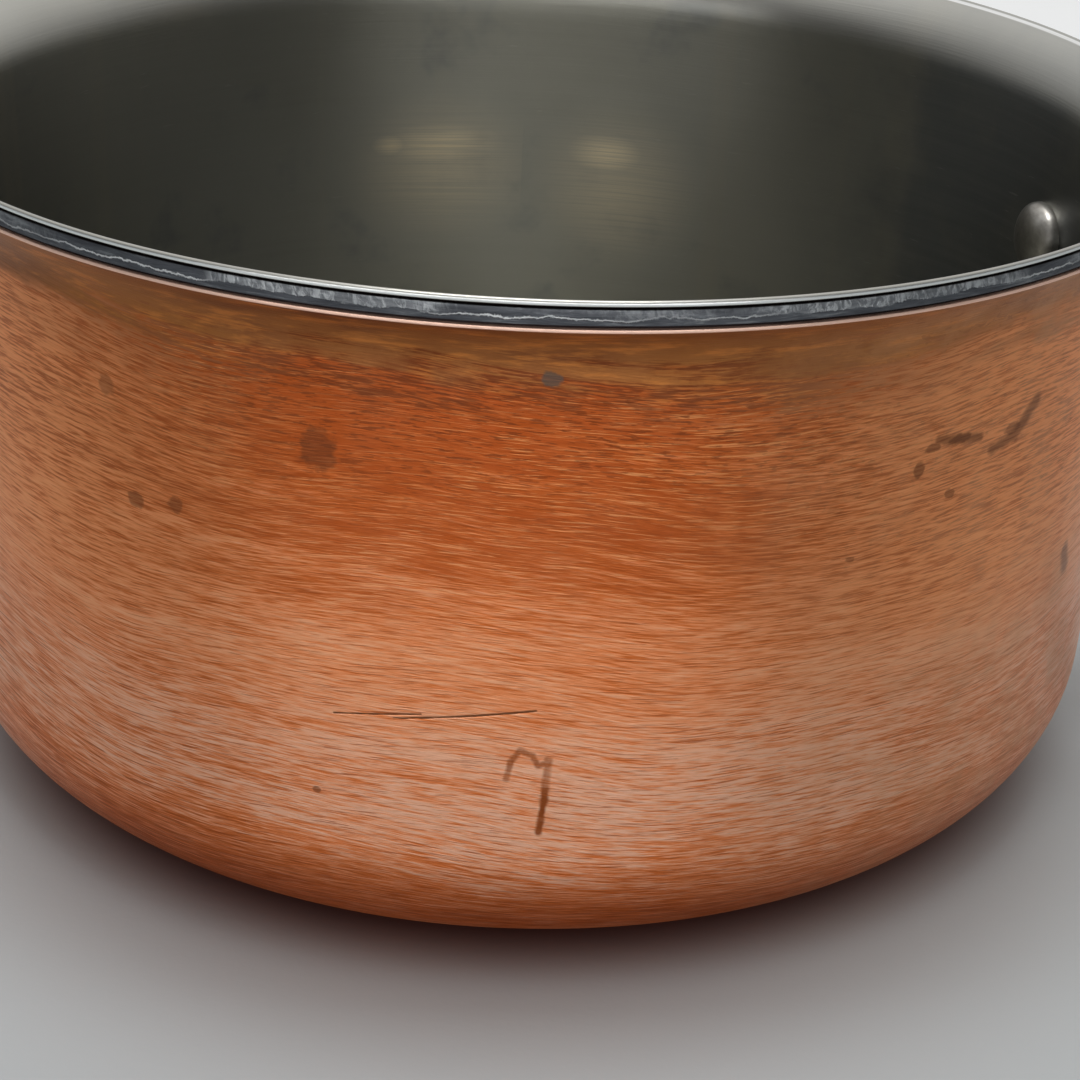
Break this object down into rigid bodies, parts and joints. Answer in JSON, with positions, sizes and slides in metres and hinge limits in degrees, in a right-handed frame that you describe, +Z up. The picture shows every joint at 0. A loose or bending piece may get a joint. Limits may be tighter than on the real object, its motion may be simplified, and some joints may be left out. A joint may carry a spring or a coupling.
{
  "type": "saucepan",
  "caption": "Deep copper saucepan with a flared lip, a stainless steel lining and a long riveted brass handle.",
  "frame": {"origin": "centre of the flat underside, on the surface that the pan stands on", "axes": "+Z up along the pan's axis, +X out along the handle"},
  "size_m": [0.3279, 0.16, 0.117],
  "materials": {
    "copper": "brushed copper with tarnish",
    "aluminium": "ground edge",
    "steel": "brushed, worn by cooking",
    "brass": "cast, satin",
    "rivet_steel": "bright, pressed"
  },
  "bodies": {
    "root": {"copper_shell": "copper", "aluminium_core": "aluminium", "steel_liner": "steel", "handle": "brass", "rivet_upper_left": "rivet_steel", "rivet_upper_right": "rivet_steel", "rivet_lower": "rivet_steel"}
  },
  "joints": []
}
